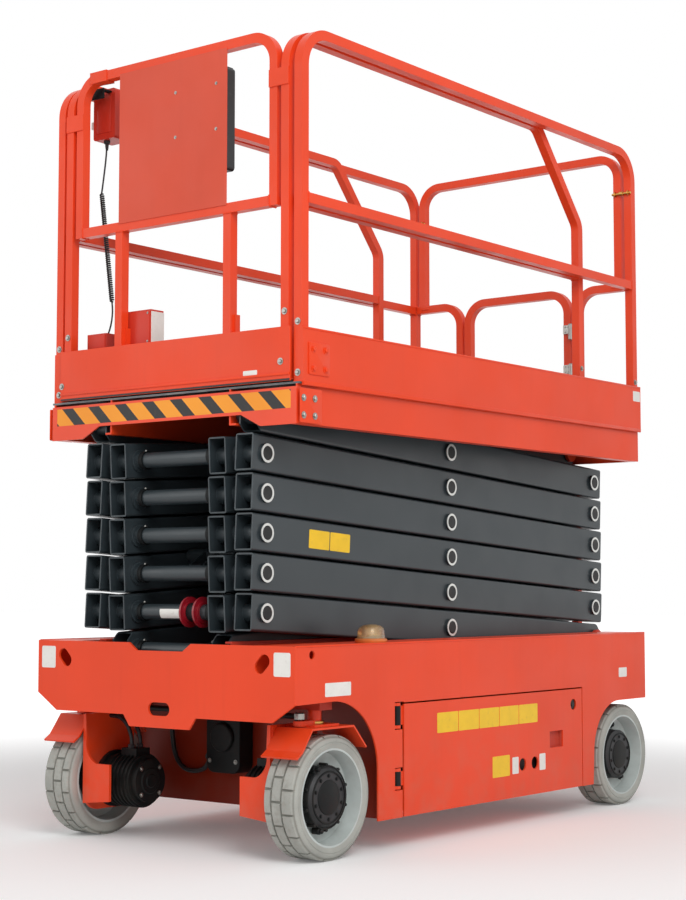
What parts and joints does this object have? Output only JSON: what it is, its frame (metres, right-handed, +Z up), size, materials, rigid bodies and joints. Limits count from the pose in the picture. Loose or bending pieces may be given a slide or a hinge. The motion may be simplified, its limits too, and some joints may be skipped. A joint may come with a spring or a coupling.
{
  "type": "self-propelled scissor lift",
  "caption": "Self-propelled electric scissor lift, folded: box chassis on steered and fixed wheels, stacked scissor arms and a railed platform with a sliding extension deck.",
  "frame": {"origin": "on the ground, midway between the two axles, on the machine's centre plane", "axes": "+X forward to the steered end, +Y to the machine's left, +Z up"},
  "size_m": [2.275, 1.12, 2.572],
  "materials": {
    "chassis_red": "satin gloss",
    "platform_red": "satin gloss",
    "arm_grey": "satin",
    "motor_black": "satin",
    "tyre_grey": "matt",
    "rim_grey": "satin",
    "battery_black": "matt",
    "beacon_amber": "gloss",
    "cylinder_black": "satin",
    "rod_chrome": "polished",
    "floor_plate": "satin",
    "stripe": "satin",
    "axle_red": "satin",
    "panel_red": "matt",
    "box_black": "matt",
    "control_red": "satin",
    "cord_black": "matt"
  },
  "bodies": {
    "chassis": {"chassis_frame": "chassis_red", "side_plates": "chassis_red", "front_plate": "chassis_red", "stack_mounts": "axle_red", "rear_axle": "axle_red", "steer_beam": "axle_red", "beacon": "beacon_amber", "ladder": "chassis_red"},
    "knuckle_left": {"knuckle_left": "chassis_red", "drive_motor_left": "motor_black"},
    "knuckle_right": {"knuckle_right": "chassis_red", "drive_motor_right": "motor_black"},
    "tie_rod": {"tie_rod": "motor_black"},
    "wheel_front_left": {"tyre_front_left": "tyre_grey", "rim_front_left": "rim_grey"},
    "wheel_front_right": {"tyre_front_right": "tyre_grey", "rim_front_right": "rim_grey"},
    "wheel_rear_left": {"tyre_rear_left": "tyre_grey", "rim_rear_left": "rim_grey"},
    "wheel_rear_right": {"tyre_rear_right": "tyre_grey", "rim_rear_right": "rim_grey"},
    "door_left": {"side_door_left": "chassis_red", "battery_block_left": "battery_black"},
    "door_right": {"side_door_right": "chassis_red", "battery_block_right": "battery_black"},
    "outer_1": {"outer_arms_1": "arm_grey"},
    "inner_1": {"inner_arms_1": "arm_grey"},
    "outer_2": {"outer_arms_2": "arm_grey"},
    "inner_2": {"inner_arms_2": "arm_grey"},
    "outer_3": {"outer_arms_3": "arm_grey"},
    "inner_3": {"inner_arms_3": "arm_grey"},
    "outer_4": {"outer_arms_4": "arm_grey"},
    "inner_4": {"inner_arms_4": "arm_grey"},
    "outer_5": {"outer_arms_5": "arm_grey"},
    "inner_5": {"inner_arms_5": "arm_grey"},
    "outer_6": {"outer_arms_6": "arm_grey"},
    "inner_6": {"inner_arms_6": "arm_grey"},
    "lift_barrels": {"lift_barrels": "cylinder_black"},
    "lift_rods": {"lift_rods": "rod_chrome"},
    "platform": {"platform_frame": "platform_red", "platform_mounts": "platform_red", "platform_floor": "floor_plate", "striped_fascia": "stripe", "toe_boards": "platform_red", "main_side_rails": "platform_red", "rear_rails": "platform_red"},
    "gate": {"entry_gate": "platform_red"},
    "extension": {"extension_deck": "floor_plate", "front_toe_board": "platform_red", "extension_rails": "platform_red", "front_panel": "panel_red", "document_box": "box_black", "control_box": "control_red", "junction_box": "control_red", "cord_top": "cord_black", "cord_coil": "cord_black", "cord_bottom": "cord_black"}
  },
  "joints": [
    {"name": "lift", "type": "hinge", "parent": "chassis", "child": "outer_1", "pos_m": [-0.993, 0, 0.6286], "axis": [0, -1, 0], "range_deg": [0, 46.8]},
    {"name": "stage_1_centre", "type": "hinge", "parent": "outer_1", "child": "inner_1", "pos_m": [0.01, 0, 0.6904], "axis": [0, -1, 0], "range_deg": [-94.6, 1]},
    {"name": "stage_2_foot", "type": "hinge", "parent": "inner_1", "child": "outer_2", "pos_m": [-0.993, 0, 0.7522], "axis": [0, -1, 0], "range_deg": [-1, 94.6]},
    {"name": "stage_2_centre", "type": "hinge", "parent": "outer_2", "child": "inner_2", "pos_m": [0.01, 0, 0.814], "axis": [0, -1, 0], "range_deg": [-94.6, 1]},
    {"name": "stage_3_foot", "type": "hinge", "parent": "inner_2", "child": "outer_3", "pos_m": [-0.993, 0, 0.8758], "axis": [0, -1, 0], "range_deg": [-1, 94.6]},
    {"name": "stage_3_centre", "type": "hinge", "parent": "outer_3", "child": "inner_3", "pos_m": [0.01, 0, 0.9376], "axis": [0, -1, 0], "range_deg": [-94.6, 1]},
    {"name": "stage_4_foot", "type": "hinge", "parent": "inner_3", "child": "outer_4", "pos_m": [-0.993, 0, 0.9994], "axis": [0, -1, 0], "range_deg": [-1, 94.6]},
    {"name": "stage_4_centre", "type": "hinge", "parent": "outer_4", "child": "inner_4", "pos_m": [0.01, 0, 1.0612], "axis": [0, -1, 0], "range_deg": [-94.6, 1]},
    {"name": "stage_5_foot", "type": "hinge", "parent": "inner_4", "child": "outer_5", "pos_m": [-0.993, 0, 1.123], "axis": [0, -1, 0], "range_deg": [-1, 94.6]},
    {"name": "stage_5_centre", "type": "hinge", "parent": "outer_5", "child": "inner_5", "pos_m": [0.01, 0, 1.1848], "axis": [0, -1, 0], "range_deg": [-94.6, 1]},
    {"name": "stage_6_foot", "type": "hinge", "parent": "inner_5", "child": "outer_6", "pos_m": [-0.993, 0, 1.2466], "axis": [0, -1, 0], "range_deg": [-1, 94.6]},
    {"name": "stage_6_centre", "type": "hinge", "parent": "outer_6", "child": "inner_6", "pos_m": [0.01, 0, 1.3084], "axis": [0, -1, 0], "range_deg": [-94.6, 1]},
    {"name": "platform_foot", "type": "hinge", "parent": "inner_6", "child": "platform", "pos_m": [-0.993, 0, 1.3702], "axis": [0, -1, 0], "range_deg": [-1, 47.8]},
    {"name": "cylinder_foot", "type": "hinge", "parent": "inner_2", "child": "lift_barrels", "pos_m": [0.12968, 0, 0.80663], "axis": [0, -1, 0], "range_deg": [-1, 107.32]},
    {"name": "cylinder_stroke", "type": "slide", "parent": "lift_barrels", "child": "lift_rods", "axis": [0.9934, 0, 0.1145], "range_m": [-0.002, 0.4014]},
    {"name": "extension_slide", "type": "slide", "parent": "platform", "child": "extension", "axis": [1, 0, 0], "range_m": [0, 0.9]},
    {"name": "gate_swing", "type": "hinge", "parent": "platform", "child": "gate", "pos_m": [-1.004, 0.266, 1.796], "axis": [0, 0, 1], "range_deg": [0, 90]},
    {"name": "steer", "type": "hinge", "parent": "chassis", "child": "knuckle_left", "pos_m": [0.898, 0.47, 0.485], "axis": [0, 0, 1], "range_deg": [-60, 60]},
    {"name": "steer_right", "type": "hinge", "parent": "chassis", "child": "knuckle_right", "pos_m": [0.898, -0.47, 0.485], "axis": [0, 0, 1], "range_deg": [-61, 61]},
    {"name": "tie_rod_end", "type": "hinge", "parent": "knuckle_left", "child": "tie_rod", "pos_m": [0.97, 0.47, 0.438], "axis": [0, 0, 1], "range_deg": [-61, 61]},
    {"name": "roll_front_left", "type": "hinge", "parent": "knuckle_left", "child": "wheel_front_left", "pos_m": [0.898, 0.4815, 0.1905], "axis": [0, 1, 0], "continuous": true},
    {"name": "roll_front_right", "type": "hinge", "parent": "knuckle_right", "child": "wheel_front_right", "pos_m": [0.898, -0.4815, 0.1905], "axis": [0, 1, 0], "continuous": true},
    {"name": "roll_rear_left", "type": "hinge", "parent": "chassis", "child": "wheel_rear_left", "pos_m": [-0.898, 0.4815, 0.1905], "axis": [0, 1, 0], "continuous": true},
    {"name": "roll_rear_right", "type": "hinge", "parent": "chassis", "child": "wheel_rear_right", "pos_m": [-0.898, -0.4815, 0.1905], "axis": [0, 1, 0], "continuous": true},
    {"name": "door_left_swing", "type": "hinge", "parent": "chassis", "child": "door_left", "pos_m": [0.575, 0.548, 0.28], "axis": [0, 0, -1], "range_deg": [0, 90]},
    {"name": "door_right_swing", "type": "hinge", "parent": "chassis", "child": "door_right", "pos_m": [0.575, -0.548, 0.28], "axis": [0, 0, 1], "range_deg": [0, 90]}
  ],
  "couplings": [
    {"joint": "stage_1_centre", "follows": "lift", "ratio": -2},
    {"joint": "stage_2_foot", "follows": "lift", "ratio": 2},
    {"joint": "stage_2_centre", "follows": "lift", "ratio": -2},
    {"joint": "stage_3_foot", "follows": "lift", "ratio": 2},
    {"joint": "stage_3_centre", "follows": "lift", "ratio": -2},
    {"joint": "stage_4_foot", "follows": "lift", "ratio": 2},
    {"joint": "stage_4_centre", "follows": "lift", "ratio": -2},
    {"joint": "stage_5_foot", "follows": "lift", "ratio": 2},
    {"joint": "stage_5_centre", "follows": "lift", "ratio": -2},
    {"joint": "stage_6_foot", "follows": "lift", "ratio": 2},
    {"joint": "stage_6_centre", "follows": "lift", "ratio": -2},
    {"joint": "platform_foot", "follows": "lift", "ratio": 1},
    {"joint": "cylinder_foot", "follows": "lift", "ratio": 2.2717},
    {"joint": "cylinder_stroke", "follows": "lift", "m_per_rad": 0.48903},
    {"joint": "steer_right", "follows": "steer", "ratio": 1},
    {"joint": "tie_rod_end", "follows": "steer", "ratio": -1}
  ]
}
